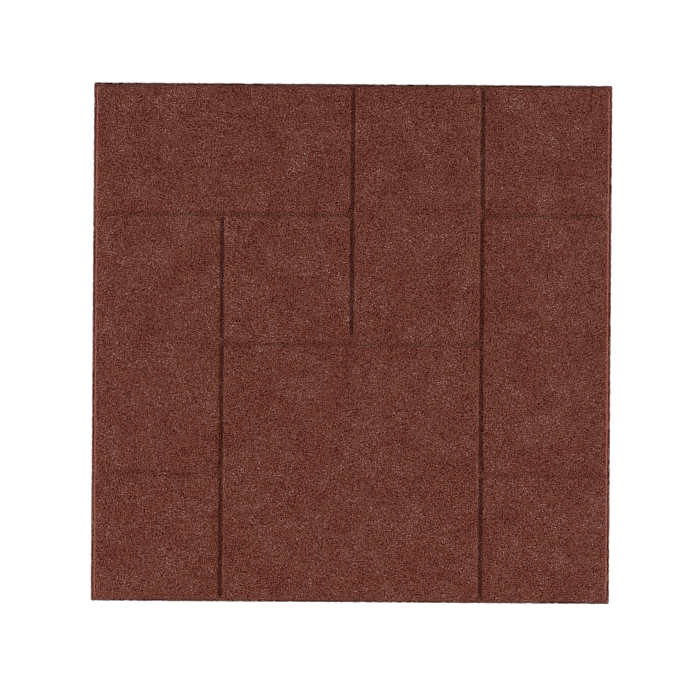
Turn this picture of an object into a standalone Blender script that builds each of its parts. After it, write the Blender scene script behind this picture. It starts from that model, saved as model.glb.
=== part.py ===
"""Square moulded rubber paver with a raised brick pattern on its upper face.

One solid of bonded crumb rubber, in metres, +Z up. The origin is the centre of the underside.
Seen from above, +X runs to the right of the pattern and +Y to its top.
"""

import math

import bmesh
import bpy
from mathutils import Vector

MM = 0.001

# Overall block
SIDE = 406.4 * MM
THICKNESS = 19.05 * MM
OUTLINE_CORNER_RADIUS = 1.5 * MM
UNDERSIDE_BEVEL = 0.8 * MM

# Ledge that steps down round the upper edge
LEDGE_WIDTH = 2.5 * MM
LEDGE_DEPTH = 3.0 * MM
RIM_DRAFT = math.radians(10)

# Round-footed grooves between the raised bricks, on a grid of four modules a side. The floor's width is taken
# between the walls' sharp feet, and the setback is how far the rounding of a foot runs out from there.
MODULE = SIDE / 4
GROOVE_DEPTH = 1.7 * MM
GROOVE_FLOOR_WIDTH = 2.2 * MM
GROOVE_DRAFT = math.radians(54)
FOOT_SETBACK = 1.1 * MM

# One groove stops short of the next one, where its round end leaves a ridge a little below the bricks' tops
BLIND_GROOVE_END = 4.9 * MM
RIDGE_DROP = 0.08 * MM
RIDGE_END_OVERLAP = 0.5 * MM
BLIND_END_SEGMENTS = 10

# Rounded upper edges and corners of the bricks: the rim's edges are rounder than those at the grooves
GROOVE_ARRIS_SETBACK = 1.4 * MM
RIM_ARRIS_SETBACK = 2.2 * MM
ARRIS_SEGMENTS = 4
FOOT_SEGMENTS = 3
BRICK_CORNER_RADIUS = 2.6 * MM
CORNER_SEGMENTS = 3

# Where two blocks would share a plane, one stands back by the clearance. A foot's rounding ends at a last
# slope, which runs on below the floor by the sink, and the blocks' roots end this deep below the ledge.
CLEARANCE = 0.03 * MM
FOOT_LAST_SLOPE = math.radians(10)
FOOT_SINK = 0.03 * MM
ROOT_BELOW_LEDGE = 1.0 * MM

RUBBER_COLOUR = (0.148, 0.046, 0.034, 1.0)
RUBBER_ROUGHNESS = 0.8
SMOOTH_BELOW = math.radians(40)

HALF_SIDE = SIDE / 2
LEDGE_HEIGHT = THICKNESS - LEDGE_DEPTH
FLOOR_HEIGHT = THICKNESS - GROOVE_DEPTH

# From a groove's centre line, or from the paver's edge, to where a form's flat top begins
TOP_FROM_GROOVE = GROOVE_FLOOR_WIDTH / 2 + GROOVE_DEPTH * math.tan(GROOVE_DRAFT)
FLAT_FROM_GROOVE = TOP_FROM_GROOVE + GROOVE_ARRIS_SETBACK
FLAT_FROM_EDGE = LEDGE_WIDTH + LEDGE_DEPTH * math.tan(RIM_DRAFT) + RIM_ARRIS_SETBACK
FLOOR_FROM_EDGE = LEDGE_WIDTH + (LEDGE_DEPTH - GROOVE_DEPTH) * math.tan(RIM_DRAFT) + RIM_ARRIS_SETBACK
FLAT_CORNER_RADIUS = BRICK_CORNER_RADIUS - GROOVE_ARRIS_SETBACK

# The roundings' radii, from their setbacks and the turn between the wall and the level
RIM_ARRIS_RADIUS = RIM_ARRIS_SETBACK / math.tan((math.pi / 2 - RIM_DRAFT) / 2)
GROOVE_ARRIS_RADIUS = GROOVE_ARRIS_SETBACK / math.tan((math.pi / 2 - GROOVE_DRAFT) / 2)
FOOT_RADIUS = FOOT_SETBACK / math.tan((math.pi / 2 - GROOVE_DRAFT) / 2)

# Lines of the four by four grid that the bricks are laid on
GRID = (-HALF_SIDE, -MODULE, 0.0, MODULE, HALF_SIDE)

# Grid lines at the left, bottom, right and top of each brick
BRICKS = {
    "top_left_brick": (0, 3, 2, 4),
    "top_right_brick": (3, 3, 4, 4),
    "left_brick": (0, 1, 1, 3),
    "right_brick": (3, 1, 4, 3),
    "large_square_brick": (1, 0, 3, 2),
    "bottom_left_brick": (0, 0, 1, 1),
    "bottom_right_brick": (3, 0, 4, 1),
    "middle_square_brick": (1, 2, 2, 3),
    "middle_tall_brick": (2, 2, 3, 4),
}


def clear_scene():
    for obj in list(bpy.data.objects):
        bpy.data.objects.remove(obj, do_unlink=True)


def new_collection(name):
    collection = bpy.data.collections.new(name)
    bpy.context.scene.collection.children.link(collection)
    return collection


def object_from(bm, name, collection):
    bmesh.ops.recalc_face_normals(bm, faces=bm.faces)
    mesh = bpy.data.meshes.new(name)
    bm.to_mesh(mesh)
    bm.free()
    mesh.shade_smooth()
    mesh.set_sharp_from_angle(angle=SMOOTH_BELOW)
    obj = bpy.data.objects.new(name, mesh)
    collection.objects.link(obj)
    return obj


def crumb_rubber():
    material = bpy.data.materials.new("crumb_rubber")
    material.use_nodes = True
    shader = material.node_tree.nodes["Principled BSDF"]
    shader.inputs["Base Color"].default_value = RUBBER_COLOUR
    shader.inputs["Roughness"].default_value = RUBBER_ROUGHNESS
    shader.inputs["Metallic"].default_value = 0.0
    return material


def rounded_corner(before, corner, after, radius):
    """Points of one rounded right-angled corner of an anticlockwise outline."""
    first = (corner - before).normalized()
    second = (after - corner).normalized()
    first_out = Vector((first.y, -first.x))
    second_out = Vector((second.y, -second.x))
    side = 1 if first.cross(second) > 0 else -1
    centre = corner - (first_out + second_out) * side * radius
    quarter = [math.pi / 2 * step / CORNER_SEGMENTS for step in range(CORNER_SEGMENTS + 1)]
    return [centre + (first_out * math.cos(turn) + second_out * math.sin(turn)) * side * radius for turn in quarter]


def outline_ring(bm, corners, radii, height):
    """Vertices of an outline at one height, its corners rounded if radii are given."""
    points = corners
    if radii:
        points = []
        for index, corner in enumerate(corners):
            points += rounded_corner(corners[index - 1], corner, corners[(index + 1) % len(corners)], radii[index])
    return [bm.verts.new((point.x, point.y, height)) for point in points]


def raised_block(name, top, depths, outline_at, collection):
    """A block built of outlines at depths below its top. outline_at gives the corners and radii at a depth."""
    bm = bmesh.new()
    rings = []
    for depth in depths:
        corners, radii = outline_at(depth)
        rings.append(outline_ring(bm, corners, radii, top - depth))
    for upper, lower in zip(rings, rings[1:]):
        for index in range(len(upper)):
            bm.faces.new((lower[index - 1], lower[index], upper[index], upper[index - 1]))
    bm.faces.new(rings[0])
    bm.faces.new(reversed(rings[-1]))
    block = object_from(bm, name, collection)
    block.display_type = "WIRE"
    block.hide_render = True
    return block


def arc_reach(radius, rise):
    """How far an arc has run out level where it has risen or fallen this much from its level end."""
    return math.sqrt(radius**2 - (radius - rise) ** 2)


def edge_and_wall_reach(radius, draft, depth):
    """How far out of the flat top a rounded edge and the drafted wall below it are at a depth."""
    arc_depth = radius * (1 - math.sin(draft))
    return arc_reach(radius, min(depth, arc_depth)) + max(depth - arc_depth, 0.0) * math.tan(draft)


def rim_reach(depth):
    return edge_and_wall_reach(RIM_ARRIS_RADIUS, RIM_DRAFT, depth)


def groove_reach(depth):
    """The same for a groove's wall, whose round foot runs on below the floor at its last slope."""
    above_floor = max(GROOVE_DEPTH - depth, -FOOT_SINK)
    if above_floor >= FOOT_RADIUS * (1 - math.sin(GROOVE_DRAFT)):
        return edge_and_wall_reach(GROOVE_ARRIS_RADIUS, GROOVE_DRAFT, depth)
    whole_reach = FLAT_FROM_GROOVE - GROOVE_FLOOR_WIDTH / 2 + FOOT_SETBACK
    last_rise = FOOT_RADIUS * (1 - math.cos(FOOT_LAST_SLOPE))
    past_arc = max(last_rise - above_floor, 0.0) / math.tan(FOOT_LAST_SLOPE)
    return whole_reach - arc_reach(FOOT_RADIUS, max(above_floor, last_rise)) + past_arc


def is_rim(line):
    return line in (0, len(GRID) - 1)


def side_reach(line, depth):
    return rim_reach(depth) if is_rim(line) else groove_reach(depth)


def brick_side(line, other, depth):
    """Where a brick's wall runs at a depth, for its side on one grid line with the brick towards the other."""
    towards = 1 if other > line else -1
    flat = FLAT_FROM_EDGE if is_rim(line) else FLAT_FROM_GROOVE
    return GRID[line] + towards * (flat - side_reach(line, depth))


def turns(first, last, segments):
    """Angles from the first to the last, at equal steps."""
    return [first + (last - first) * step / segments for step in range(segments + 1)]


def brick_depths():
    """Depths of a brick's outlines: over its rounded edges, down its walls, over their feet and at its root."""
    steepest_groove = math.pi / 2 - GROOVE_DRAFT
    steepest_rim = math.pi / 2 - RIM_DRAFT
    depths = [GROOVE_ARRIS_RADIUS * (1 - math.cos(turn)) for turn in turns(0.0, steepest_groove, ARRIS_SEGMENTS)]
    depths.append(RIM_ARRIS_RADIUS * (1 - math.cos(steepest_rim)))
    for turn in turns(FOOT_LAST_SLOPE, steepest_groove, FOOT_SEGMENTS):
        depths.append(GROOVE_DEPTH - FOOT_RADIUS * (1 - math.cos(turn)))
    depths += [GROOVE_DEPTH + FOOT_SINK, LEDGE_DEPTH + ROOT_BELOW_LEDGE]
    return sorted(depths)


def rectangle(x_low, y_low, x_high, y_high):
    return [Vector(point) for point in ((x_low, y_low), (x_high, y_low), (x_high, y_high), (x_low, y_high))]


def brick(name, left, bottom, right, top, collection):
    def outline_at(depth):
        corners = rectangle(
            brick_side(left, right, depth),
            brick_side(bottom, top, depth),
            brick_side(right, left, depth),
            brick_side(top, bottom, depth),
        )
        meeting = ((left, bottom), (right, bottom), (right, top), (left, top))
        reaches = [min(side_reach(line, depth) for line in lines) for lines in meeting]
        return corners, [FLAT_CORNER_RADIUS + reach for reach in reaches]

    return raised_block(name, THICKNESS, brick_depths(), outline_at, collection)


def blind_end_ridge(name, collection):
    """The ridge that joins the two middle bricks between the blind groove's round end and the next groove."""
    end_centre = BLIND_GROOVE_END + TOP_FROM_GROOVE
    half_length = FLAT_FROM_GROOVE + FLAT_CORNER_RADIUS + RIDGE_END_OVERLAP

    def outline_at(depth):
        half_groove = FLAT_FROM_GROOVE - groove_reach(depth) + CLEARANCE
        corners = [
            Vector((-half_length, half_groove)),
            Vector((half_length, half_groove)),
            Vector((half_length, end_centre)),
        ]
        for turn in turns(0.0, -math.pi, BLIND_END_SEGMENTS):
            corners.append(Vector((half_groove * math.cos(turn), end_centre + half_groove * math.sin(turn))))
        corners.append(Vector((-half_length, end_centre)))
        return corners, None

    depths = [RIDGE_DROP] + [depth for depth in brick_depths() if depth > RIDGE_DROP]
    return raised_block(name, THICKNESS, depths, outline_at, collection)


def floor_block(name, collection):
    """The block whose top is the floor of the grooves."""

    def outline_at(depth):
        reach = rim_reach(depth)
        half = HALF_SIDE - FLOOR_FROM_EDGE + reach - CLEARANCE
        return rectangle(-half, -half, half, half), [FLAT_CORNER_RADIUS + reach] * 4

    arc_turns = turns(0.0, math.pi / 2 - RIM_DRAFT, ARRIS_SEGMENTS)
    depths = [RIM_ARRIS_RADIUS * (1 - math.cos(turn)) for turn in arc_turns]
    depths.append(LEDGE_DEPTH - GROOVE_DEPTH + ROOT_BELOW_LEDGE)
    return raised_block(name, FLOOR_HEIGHT, depths, outline_at, collection)


def slab(name, collection):
    """The square slab up to the ledge, with rounded upright corners."""
    bm = bmesh.new()
    bmesh.ops.create_cube(bm, size=1.0)
    bmesh.ops.scale(bm, vec=(SIDE, SIDE, LEDGE_HEIGHT), verts=bm.verts)
    bmesh.ops.translate(bm, vec=(0, 0, LEDGE_HEIGHT / 2), verts=bm.verts)
    upright = [edge for edge in bm.edges if abs(edge.verts[0].co.z - edge.verts[1].co.z) > LEDGE_HEIGHT / 2]
    bmesh.ops.bevel(
        bm,
        geom=upright,
        offset=OUTLINE_CORNER_RADIUS,
        offset_type="OFFSET",
        segments=CORNER_SEGMENTS,
        profile=0.5,
        affect="EDGES",
    )
    underside = [edge for edge in bm.edges if max(vert.co.z for vert in edge.verts) < LEDGE_HEIGHT / 2]
    bmesh.ops.bevel(
        bm,
        geom=underside,
        offset=UNDERSIDE_BEVEL,
        offset_type="OFFSET",
        segments=2,
        profile=0.5,
        affect="EDGES",
    )
    return object_from(bm, name, collection)


def unite(target, block):
    union = target.modifiers.new(block.name, "BOOLEAN")
    union.operation = "UNION"
    union.solver = "EXACT"
    union.object = block


def build_paver():
    paver_parts = new_collection("rubber_paver")
    raised_forms = new_collection("raised_forms")
    paver = slab("paver", paver_parts)
    paver.data.materials.append(crumb_rubber())
    unite(paver, floor_block("groove_floor", raised_forms))
    for name, lines in BRICKS.items():
        unite(paver, brick(name, *lines, raised_forms))
    unite(paver, blind_end_ridge("blind_end_ridge", raised_forms))


clear_scene()
build_paver()
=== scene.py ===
"""Looks of the moulded rubber paver: its crumbly surface, its finish, a white sweep and four soft boxes.

Lengths are in metres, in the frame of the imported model: +Z up, +Y to the top of the pattern.
"""

import math

import bpy
import numpy as np
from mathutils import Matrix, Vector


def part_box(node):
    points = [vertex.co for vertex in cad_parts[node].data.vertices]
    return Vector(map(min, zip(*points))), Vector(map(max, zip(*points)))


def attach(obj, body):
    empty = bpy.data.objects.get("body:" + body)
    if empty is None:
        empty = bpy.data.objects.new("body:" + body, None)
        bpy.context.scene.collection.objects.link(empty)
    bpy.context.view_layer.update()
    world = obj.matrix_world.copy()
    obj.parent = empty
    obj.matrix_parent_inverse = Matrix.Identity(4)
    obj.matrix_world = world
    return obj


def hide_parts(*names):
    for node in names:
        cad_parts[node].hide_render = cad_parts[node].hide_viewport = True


MM = 0.001

# Plan and section of the paver, as in the solid
LEDGE_WIDTH = 2.5 * MM
LEDGE_DEPTH = 3.0 * MM
RIM_DRAFT = math.radians(10)
GROOVE_DEPTH = 1.7 * MM
GROOVE_FLOOR_WIDTH = 2.2 * MM
GROOVE_DRAFT = math.radians(54)
BLIND_GROOVE_END = 4.9 * MM
GROOVE_ARRIS_SETBACK = 1.4 * MM
RIM_ARRIS_SETBACK = 2.2 * MM
FOOT_SETBACK = 1.1 * MM
BRICK_CORNER_RADIUS = 2.6 * MM
OUTLINE_CORNER_RADIUS = 1.5 * MM
UNDERSIDE_BEVEL = 0.8 * MM

# Mesh spacing
FLAT_SPACING = 1.8 * MM
GROOVE_LINES = [value * MM for value in (0.6, 1.1, 1.6, 2.1, 2.6, 3.1, 3.6, 4.1, 4.7, 5.4)]
RIM_LINES = [value * MM for value in (0.9, 1.5, 1.95, 2.3, 2.6, 2.9, 3.25, 3.65, 4.1, 4.6, 5.2, 6.2)]
SIDE_ROWS = 8
# How far a mesh point is moved at random, as a share of its spacing
JITTER = 0.3
SEED = 16

# Relief of the crumbs that the mesh itself carries
CRUMB_RELIEF = 0.10 * MM
WAVE_RELIEF = 0.12 * MM
WAVE_CELL = 9.0 * MM
FLOOR_FILLET = 0.8 * MM
RAGGED_CELL = 2.4 * MM
RAGGED_FORMS = 0.25 * MM
RAGGED_OUTLINE = 0.4 * MM

# Crumbs: cells a metre, mean shade in display levels, and its steps over the crumbs' random values
CRUMB_SCALE = 1500
FINES_SCALE = 2300
MEAN_SHADE = (95.5, 46.0, 32.5)
# The lowest step also carries the painted shade of the gaps. The highest steps make pale specks, partly
# paler crumbs and partly painted glints, made whiter by the wider spread of green and blue
CRUMB_SHADES = ((0.0, -108), (0.2, -41), (0.5, 0), (0.8, 24), (0.94, 46), (1.0, 102))
SHADE_SPREAD = (0.57, 0.95, 1.05)
# Soft mottling: scale, detail and amount
MOTTLES = ((40, 2, 0.3), (150, 1, 0.22), (400, 0, 0.16))
# Painted shade in the gaps between crumbs: the distance from a fine cell's middle where the crumb value
# starts to drop, and how steeply it drops
PAINTED_GAP_SHADE_START = 0.6
PAINTED_GAP_SHADE_DEPTH = 1.6
BUMP_STRENGTH = 0.6
BUMP_DISTANCE = 0.5 * MM
CRUMB_ROUGHNESS = 0.85
CRUMB_SPECULAR = 0.1

# Camera: straight above, turned by so many radians, with this width of the ledge's plane in the frame
CAMERA_HEIGHT = 0.75
FRAME_WIDTH = 548.4 * MM
CAMERA_CENTRE = (-1.18 * MM, -5.34 * MM)
CAMERA_TURN = 0.0069
SENSOR_WIDTH = 36.0

# Lights: place, width and height, and power
SOFTBOXES = {
    "left_softbox": ((-1.6, -0.1, 0.25), (1.5, 0.44), 65.0),
    "right_softbox": ((1.6, -0.1, 0.25), (1.5, 0.44), 66.0),
    "front_softbox": ((0.0, -1.3, 1.0), (1.2, 1.2), 9.0),
    "back_softbox": ((0.0, 1.6, 0.3), (1.8, 0.5), 10.0),
}
WORLD_STRENGTH = 0.42
FLOOR_GLOW = 0.92
FLOOR_SHADE = (0.2, 0.2, 0.2, 1)
FLOOR_SIZE = 20.0
# The floor lies this far below the underside
FLOOR_GAP = 0.2 * MM
# Lens glow: pixels of blur, and the share of the light that it spreads
GLOW_SIZE = 6
GLOW_SHARE = 0.075
SHARPENING = 0.12
# No sharpening where the blurred picture is lighter than this: pixels of blur and display level
HALO_GUARD = 2
HALO_LEVEL = 0.36
DISPLAY_GAMMA = 2.2

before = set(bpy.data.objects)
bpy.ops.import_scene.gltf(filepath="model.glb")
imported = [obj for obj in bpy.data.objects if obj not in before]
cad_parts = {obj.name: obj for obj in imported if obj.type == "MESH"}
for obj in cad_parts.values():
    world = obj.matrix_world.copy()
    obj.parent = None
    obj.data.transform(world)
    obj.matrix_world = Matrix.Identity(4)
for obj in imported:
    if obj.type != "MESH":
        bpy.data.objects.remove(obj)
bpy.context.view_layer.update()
CAD_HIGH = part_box("paver")[1]
HALF_SIDE = CAD_HIGH.x
THICKNESS = CAD_HIGH.z

LEDGE_HEIGHT = THICKNESS - LEDGE_DEPTH
FLOOR_HEIGHT = THICKNESS - GROOVE_DEPTH

# From a groove's centre line, or from the paver's edge, to where a form's flat top begins
FLAT_FROM_GROOVE = GROOVE_FLOOR_WIDTH / 2 + GROOVE_DEPTH * math.tan(GROOVE_DRAFT) + GROOVE_ARRIS_SETBACK
FLAT_FROM_EDGE = LEDGE_WIDTH + LEDGE_DEPTH * math.tan(RIM_DRAFT) + RIM_ARRIS_SETBACK
FLOOR_FROM_EDGE = LEDGE_WIDTH + (LEDGE_DEPTH - GROOVE_DEPTH) * math.tan(RIM_DRAFT) + RIM_ARRIS_SETBACK
FLAT_CORNER_RADIUS = BRICK_CORNER_RADIUS - GROOVE_ARRIS_SETBACK

MODULE = HALF_SIDE / 2
GRID = (-HALF_SIDE, -MODULE, 0.0, MODULE, HALF_SIDE)
# Each brick's grid lines at left, bottom, right and top
BRICKS = (
    (0, 3, 2, 4),
    (3, 3, 4, 4),
    (0, 1, 1, 3),
    (3, 1, 4, 3),
    (1, 0, 3, 2),
    (0, 0, 1, 1),
    (3, 0, 4, 1),
    (1, 2, 2, 3),
    (2, 2, 3, 4),
)


def outside_rounded_box(x, y, low, high, radius):
    """How far outside a rounded rectangle each point lies, negative inside."""
    across = np.abs(x - (low[0] + high[0]) / 2) - (high[0] - low[0]) / 2 + radius
    along = np.abs(y - (low[1] + high[1]) / 2) - (high[1] - low[1]) / 2 + radius
    outside = np.hypot(np.maximum(across, 0), np.maximum(along, 0))
    return outside + np.minimum(np.maximum(across, along), 0) - radius


def brick_side(line, other):
    """Where a brick's flat top ends, for its side on one grid line with the brick towards the other."""
    towards = 1 if other > line else -1
    on_rim = line in (0, len(GRID) - 1)
    return GRID[line] + towards * (FLAT_FROM_EDGE if on_rim else FLAT_FROM_GROOVE)


def outside_bricks(x, y):
    """How far each point lies outside the flat top of the nearest brick."""
    found = outside_bridge(x, y)
    for left, bottom, right, top in BRICKS:
        low = (brick_side(left, right), brick_side(bottom, top))
        high = (brick_side(right, left), brick_side(top, bottom))
        found = np.minimum(found, outside_rounded_box(x, y, low, high, FLAT_CORNER_RADIUS))
    return found


def outside_bridge(x, y):
    """The same for the ridge that joins two bricks beyond the end of the groove that stops short."""
    past_end = np.maximum(BLIND_GROOVE_END + FLAT_FROM_GROOVE - GROOVE_ARRIS_SETBACK - y, 0)
    from_groove = FLAT_FROM_GROOVE - np.hypot(x, past_end)
    from_bottom = FLAT_FROM_GROOVE - y
    beside = np.maximum(np.abs(x), y) - 2 * FLAT_FROM_GROOVE
    return np.maximum.reduce([from_groove, from_bottom, beside])


def rounded_wall(outside, top, draft, setback):
    """Height of a rounded edge and the drafted wall below it, by how far outside the flat top."""
    radius = setback / math.tan((math.pi / 2 - draft) / 2)
    end = radius * math.cos(draft)
    on_arc = np.clip(outside, 0, end)
    below = np.maximum(outside - end, 0) / math.tan(draft)
    return top - radius + np.sqrt(radius**2 - on_arc**2) - below


def groove_wall(outside):
    """The same for a groove, down to its rounded foot."""
    wall = rounded_wall(outside, THICKNESS, GROOVE_DRAFT, GROOVE_ARRIS_SETBACK)
    radius = FOOT_SETBACK / math.tan((math.pi / 2 - GROOVE_DRAFT) / 2)
    floor_start = FLAT_FROM_GROOVE - GROOVE_FLOOR_WIDTH / 2 + FOOT_SETBACK
    arc = radius * math.cos(GROOVE_DRAFT)
    to_floor = np.clip(floor_start - outside, 0, arc)
    foot = FLOOR_HEIGHT + radius - np.sqrt(radius**2 - to_floor**2)
    return np.where(to_floor < arc, foot, wall)


def smooth_maximum(first, second, radius):
    """The higher of two heights, with a small fillet where they cross."""
    blend = np.maximum(radius - np.abs(first - second), 0) / radius
    return np.maximum(first, second) + blend * blend * radius / 4


def rim_share(x, y):
    """1 on the walls that face out at the rim, 0 on those of the grooves."""
    past = np.maximum(np.abs(x), np.abs(y)) - (HALF_SIDE - FLAT_FROM_EDGE)
    return np.clip(past / RIM_ARRIS_SETBACK, 0, 1)


def top_height(x, y):
    """Height of the upper surface over the plan."""
    half = HALF_SIDE - FLOOR_FROM_EDGE
    past_floor = outside_rounded_box(x, y, (-half, -half), (half, half), FLAT_CORNER_RADIUS)
    floor = rounded_wall(past_floor, FLOOR_HEIGHT, RIM_DRAFT, RIM_ARRIS_SETBACK)
    outside = outside_bricks(x, y)
    share = rim_share(x, y)
    at_rim = rounded_wall(outside, THICKNESS, RIM_DRAFT, RIM_ARRIS_SETBACK)
    in_groove = groove_wall(outside)
    raised = smooth_maximum(floor, at_rim * share + in_groove * (1 - share), FLOOR_FILLET)
    return np.minimum(smooth_maximum(raised, np.full(x.shape, LEDGE_HEIGHT), FLOOR_FILLET / 2), THICKNESS)


def spread_between(start, end):
    """Evenly spaced mesh lines between two others, which aren't repeated."""
    steps = max(1, round((end - start) / FLAT_SPACING))
    return list(np.linspace(start, end, steps + 1)[1:-1])


def grid_lines():
    """Where the mesh lines run in x and in y: close together over the grooves and the rim."""
    lines = [-HALF_SIDE] + [-HALF_SIDE + step for step in RIM_LINES]
    for centre in GRID[1:-1]:
        left = [centre - step for step in reversed(GROOVE_LINES)]
        right = [centre + step for step in GROOVE_LINES]
        around = left + [centre] + right
        lines += spread_between(lines[-1], around[0]) + around
    rim = [HALF_SIDE - step for step in reversed(RIM_LINES)]
    lines += spread_between(lines[-1], rim[0]) + rim + [HALF_SIDE]
    return np.array(lines)


def ease(share):
    """A share from 0 to 1 that leaves and arrives gently."""
    return share * share * (3 - 2 * share)


def smooth_noise(x, y, cell, rng):
    """Soft random waves about one cell wide, between -1 and 1."""
    size = int(2 * HALF_SIDE / cell) + 4
    values = rng.uniform(-1, 1, (size, size))
    across = (x + HALF_SIDE) / cell + 1
    along = (y + HALF_SIDE) / cell + 1
    column = across.astype(int)
    row = along.astype(int)
    right = ease(across - column)
    up = ease(along - row)
    low = values[column, row] * (1 - right) + values[column + 1, row] * right
    high = values[column, row + 1] * (1 - right) + values[column + 1, row + 1] * right
    return low * (1 - up) + high * up


def round_corners(x, y):
    """The points with the square's four corners drawn in to the outline's rounded ones."""
    inner = HALF_SIDE - OUTLINE_CORNER_RADIUS
    across = np.maximum(np.abs(x) - inner, 0)
    along = np.maximum(np.abs(y) - inner, 0)
    reach = np.hypot(across, along)
    share = np.divide(np.maximum(across, along), reach, out=np.ones_like(reach), where=reach > 0)
    rounded_x = np.sign(x) * (np.minimum(np.abs(x), inner) + across * share)
    rounded_y = np.sign(y) * (np.minimum(np.abs(y), inner) + along * share)
    return rounded_x, rounded_y


def jittered_grid(lines, rng):
    """The crossings of the mesh lines, each moved at random by a share of its spacing."""
    x, y = np.meshgrid(lines, lines, indexing="ij")
    gap_before = np.diff(lines, prepend=lines[0])
    gap_after = np.diff(lines, append=lines[-1])
    room = np.minimum(gap_before, gap_after)
    x = x + rng.uniform(-JITTER, JITTER, x.shape) * room[:, None]
    y = y + rng.uniform(-JITTER, JITTER, y.shape) * room[None, :]
    return x, y


def upper_surface(lines, rng):
    """Points of the upper surface: the section's forms with ragged edges, crumbs and soft waves."""
    x, y = jittered_grid(lines, rng)
    ragged_x = smooth_noise(x, y, RAGGED_CELL, rng) * RAGGED_FORMS
    ragged_y = smooth_noise(x, y, RAGGED_CELL, rng) * RAGGED_FORMS
    z = top_height(x + ragged_x, y + ragged_y)
    for rows in (x[0], x[-1], y[:, 0], y[:, -1]):
        rows *= 1 - rng.uniform(0, 1, len(rows)) ** 2 * RAGGED_OUTLINE / HALF_SIDE
    x, y = round_corners(x, y)
    relief = rng.uniform(0, 1, z.shape) ** 2 * CRUMB_RELIEF
    relief += (smooth_noise(x, y, WAVE_CELL, rng) + 1) / 2 * WAVE_RELIEF
    return np.stack([x, y, z - relief], -1).reshape(-1, 3)


def side_row(rim, height, rng):
    """The points below the rim's at one height: drawn in by the crumbs, or by the bevel at the underside."""
    row = rim.copy()
    row[:, 2] = height
    if height == 0.0:
        row[:, :2] *= 1 - UNDERSIDE_BEVEL / HALF_SIDE
    else:
        inwards = rng.uniform(0, 1, len(rim)) ** 2 * CRUMB_RELIEF
        row[:, :2] *= 1 - inwards[:, None] / HALF_SIDE
    return row


def paver_mesh(name):
    """One closed mesh: the upper surface, rows of points down the sides, and the flat underside."""
    rng = np.random.default_rng(SEED)
    lines = grid_lines()
    top = upper_surface(lines, rng)
    index = np.arange(len(top)).reshape(len(lines), len(lines))
    quads = [np.stack([index[:-1, :-1], index[1:, :-1], index[1:, 1:], index[:-1, 1:]], -1).reshape(-1, 4)]
    rim = np.concatenate([index[:-1, 0], index[-1, :-1], index[:0:-1, -1], index[0, :0:-1]])
    verts = [top]
    ring = rim
    side_heights = np.linspace(LEDGE_HEIGHT, UNDERSIDE_BEVEL, SIDE_ROWS)[1:]
    for row_number, height in enumerate([*side_heights, 0.0]):
        verts.append(side_row(top[rim], height, rng))
        below = len(top) + row_number * len(rim) + np.arange(len(rim))
        quads.append(np.stack([ring, below, np.roll(below, -1), np.roll(ring, -1)], -1))
        ring = below
    mesh = bpy.data.meshes.new(name)
    faces = [tuple(face) for face in np.concatenate(quads).tolist()] + [tuple(ring.tolist())]
    mesh.from_pydata(np.concatenate(verts).tolist(), [], faces)
    mesh.validate()
    mesh.shade_smooth()
    underside = mesh.polygons[-1]
    underside.use_smooth = False
    return mesh


def add_node(tree, kind, **settings):
    """A new node of this kind with its own settings."""
    made = tree.nodes.new(kind)
    for key, value in settings.items():
        setattr(made, key, value)
    return made


def shade(step):
    """Linear colour of a crumb that is this many display levels (of 255) lighter than the mean."""
    levels = [max(level + step * spread, 0) / 255 for level, spread in zip(MEAN_SHADE, SHADE_SPREAD)]
    return [level / 12.92 if level <= 0.04045 else ((level + 0.055) / 1.055) ** 2.4 for level in levels]


def math_node(tree, operation, first, second):
    """The result of a math node whose inputs are numbers or other nodes' results."""
    made = add_node(tree, "ShaderNodeMath", operation=operation)
    for socket, value in zip(made.inputs, (first, second)):
        if isinstance(value, (int, float)):
            socket.default_value = value
        else:
            tree.links.new(value, socket)
    return made.outputs[0]


def cells(tree, place, scale):
    """Crumbs as cells: a random value for each crumb, and the distance from its middle."""
    made = add_node(tree, "ShaderNodeTexVoronoi", feature="F1")
    made.inputs["Scale"].default_value = scale
    tree.links.new(place, made.inputs["Vector"])
    value = add_node(tree, "ShaderNodeSeparateColor")
    tree.links.new(made.outputs["Color"], value.inputs["Color"])
    return value.outputs["Red"], made.outputs["Distance"]


def mottle(tree, place, scale, detail):
    """Soft noise around zero."""
    made = add_node(tree, "ShaderNodeTexNoise")
    made.inputs["Scale"].default_value = scale
    made.inputs["Detail"].default_value = detail
    tree.links.new(place, made.inputs["Vector"])
    return math_node(tree, "SUBTRACT", made.outputs["Fac"], 0.5)


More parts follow.
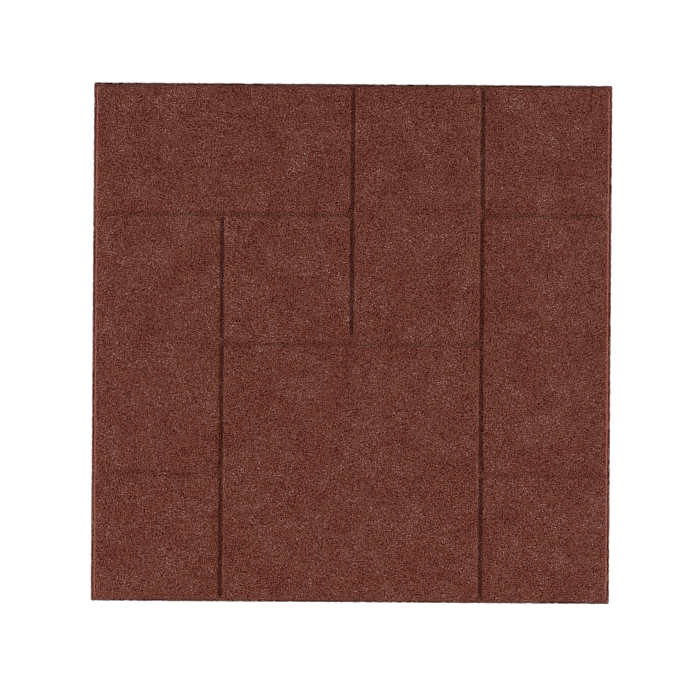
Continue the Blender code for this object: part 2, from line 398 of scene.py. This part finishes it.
def crumb_rubber():
    """Red-brown bonded crumbs: each has its own shade, with painted shade in the gaps between them, pale
    specks that are partly paler crumbs and partly painted glints, and a soft mottling.
    """
    material = bpy.data.materials.new("crumb_rubber")
    material.use_nodes = True
    tree = material.node_tree
    tree.nodes.clear()
    output = add_node(tree, "ShaderNodeOutputMaterial")
    shader = add_node(tree, "ShaderNodeBsdfPrincipled")
    tree.links.new(shader.outputs["BSDF"], output.inputs["Surface"])
    place = add_node(tree, "ShaderNodeTexCoord").outputs["Object"]

    crumb, crumb_distance = cells(tree, place, CRUMB_SCALE)
    fine, fine_distance = cells(tree, place, FINES_SCALE)
    value = math_node(tree, "MULTIPLY", math_node(tree, "ADD", crumb, fine), 0.5)
    # Painted shade: the value drops towards the fine cells' edges, darkening the gaps between crumbs where
    # shade would fall
    painted_gap_shade = math_node(tree, "MAXIMUM", math_node(tree, "SUBTRACT", fine_distance, PAINTED_GAP_SHADE_START), 0.0)
    value = math_node(tree, "SUBTRACT", value, math_node(tree, "MULTIPLY", painted_gap_shade, PAINTED_GAP_SHADE_DEPTH))
    for scale, detail, amount in MOTTLES:
        soft = math_node(tree, "MULTIPLY", mottle(tree, place, scale, detail), amount)
        value = math_node(tree, "ADD", value, soft)
    # The ramp gives the crumbs' shades, with painted glints on its palest steps and the gaps' painted shade
    # at its darkest
    ramp = add_node(tree, "ShaderNodeValToRGB")
    elements = ramp.color_ramp.elements
    while len(elements) < len(CRUMB_SHADES):
        elements.new(0.5)
    for element, (position, step) in zip(elements, CRUMB_SHADES):
        element.position = position
        element.color = (*shade(step), 1)
    tree.links.new(value, ramp.inputs["Fac"])
    tree.links.new(ramp.outputs["Color"], shader.inputs["Base Color"])

    bump = add_node(tree, "ShaderNodeBump", invert=True)
    bump.inputs["Strength"].default_value = BUMP_STRENGTH
    bump.inputs["Distance"].default_value = BUMP_DISTANCE
    tree.links.new(math_node(tree, "ADD", crumb_distance, fine_distance), bump.inputs["Height"])
    tree.links.new(bump.outputs["Normal"], shader.inputs["Normal"])
    shader.inputs["Roughness"].default_value = CRUMB_ROUGHNESS
    shader.inputs["Specular IOR Level"].default_value = CRUMB_SPECULAR
    return material


def white_floor():
    """A pale sweep that glows a little, so that the paver's shadow all but vanishes in white."""
    material = bpy.data.materials.new("white_sweep")
    material.use_nodes = True
    shader = material.node_tree.nodes["Principled BSDF"]
    shader.inputs["Base Color"].default_value = FLOOR_SHADE
    shader.inputs["Roughness"].default_value = 1.0
    shader.inputs["Specular IOR Level"].default_value = 0.0
    shader.inputs["Emission Color"].default_value = (1, 1, 1, 1)
    shader.inputs["Emission Strength"].default_value = FLOOR_GLOW
    bpy.ops.mesh.primitive_plane_add(size=FLOOR_SIZE, location=(0, 0, -FLOOR_GAP))
    floor = bpy.context.object
    floor.name = "floor"
    floor.data.materials.append(material)


def area_light(name, power, place, size):
    """A soft box aimed at the paver's middle."""
    light = bpy.data.lights.new(name, "AREA")
    light.shape = "RECTANGLE"
    light.size, light.size_y = size
    light.energy = power
    lamp = bpy.data.objects.new(name, light)
    bpy.context.scene.collection.objects.link(lamp)
    lamp.location = place
    aim = -lamp.location
    lamp.rotation_euler = aim.to_track_quat("-Z", "Y").to_euler()


def studio():
    """White surroundings and the soft boxes."""
    world = bpy.data.worlds.new("studio")
    bpy.context.scene.world = world
    world.use_nodes = True
    world.node_tree.nodes["Background"].inputs["Color"].default_value = (1, 1, 1, 1)
    world.node_tree.nodes["Background"].inputs["Strength"].default_value = WORLD_STRENGTH
    for name, (place, size, power) in SOFTBOXES.items():
        area_light(name, power, place, size)


def overhead_camera():
    """The photograph's view, straight down on the paver."""
    data = bpy.data.cameras.new("camera")
    data.sensor_width = SENSOR_WIDTH
    data.lens = SENSOR_WIDTH * CAMERA_HEIGHT / FRAME_WIDTH
    camera = bpy.data.objects.new("camera", data)
    bpy.context.scene.collection.objects.link(camera)
    camera.location = (*CAMERA_CENTRE, LEDGE_HEIGHT + CAMERA_HEIGHT)
    camera.rotation_euler = (0, 0, CAMERA_TURN)
    bpy.context.scene.camera = camera


def sharpening_amount(tree, image):
    """How much to sharpen: none beside the white, where it would draw a dark line."""
    blur = add_node(tree, "CompositorNodeBlur", size_x=HALO_GUARD, size_y=HALO_GUARD)
    grey = add_node(tree, "CompositorNodeRGBToBW")
    dark = add_node(tree, "CompositorNodeMath", operation="LESS_THAN")
    dark.inputs[1].default_value = HALO_LEVEL
    amount = add_node(tree, "CompositorNodeMath", operation="MULTIPLY")
    amount.inputs[1].default_value = SHARPENING
    tree.links.new(image, blur.inputs["Image"])
    tree.links.new(blur.outputs["Image"], grey.inputs["Image"])
    tree.links.new(grey.outputs["Val"], dark.inputs[0])
    tree.links.new(dark.outputs["Value"], amount.inputs[0])
    return amount.outputs["Value"]


def print_like_photo():
    """Plain colour, a faint glow of the lens, and the light sharpening of a shop photograph."""
    scene = bpy.context.scene
    scene.view_settings.view_transform = "Standard"
    scene.use_nodes = True
    tree = scene.node_tree
    tree.nodes.clear()
    render = add_node(tree, "CompositorNodeRLayers")
    spread = add_node(tree, "CompositorNodeBlur", size_x=GLOW_SIZE, size_y=GLOW_SIZE)
    glow = add_node(tree, "CompositorNodeMixRGB")
    glow.inputs["Fac"].default_value = GLOW_SHARE
    to_display = add_node(tree, "CompositorNodeGamma")
    to_display.inputs["Gamma"].default_value = 1 / DISPLAY_GAMMA
    sharpen = add_node(tree, "CompositorNodeFilter", filter_type="SHARPEN")
    to_light = add_node(tree, "CompositorNodeGamma")
    to_light.inputs["Gamma"].default_value = DISPLAY_GAMMA
    result = add_node(tree, "CompositorNodeComposite")
    tree.links.new(render.outputs["Image"], spread.inputs["Image"])
    tree.links.new(render.outputs["Image"], glow.inputs[1])
    tree.links.new(spread.outputs["Image"], glow.inputs[2])
    tree.links.new(glow.outputs["Image"], to_display.inputs["Image"])
    tree.links.new(to_display.outputs["Image"], sharpen.inputs["Image"])
    tree.links.new(sharpening_amount(tree, to_display.outputs["Image"]), sharpen.inputs["Fac"])
    tree.links.new(sharpen.outputs["Image"], to_light.inputs["Image"])
    tree.links.new(to_light.outputs["Image"], result.inputs["Image"])


def build_paver():
    """The visual piece that stands in for the solid."""
    mesh = paver_mesh("moulded_paver")
    piece = bpy.data.objects.new("moulded_paver", mesh)
    bpy.context.scene.collection.objects.link(piece)
    mesh.materials.append(crumb_rubber())
    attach(piece, "root")
    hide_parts("paver")


overhead_camera()
studio()
white_floor()
build_paver()
print_like_photo()
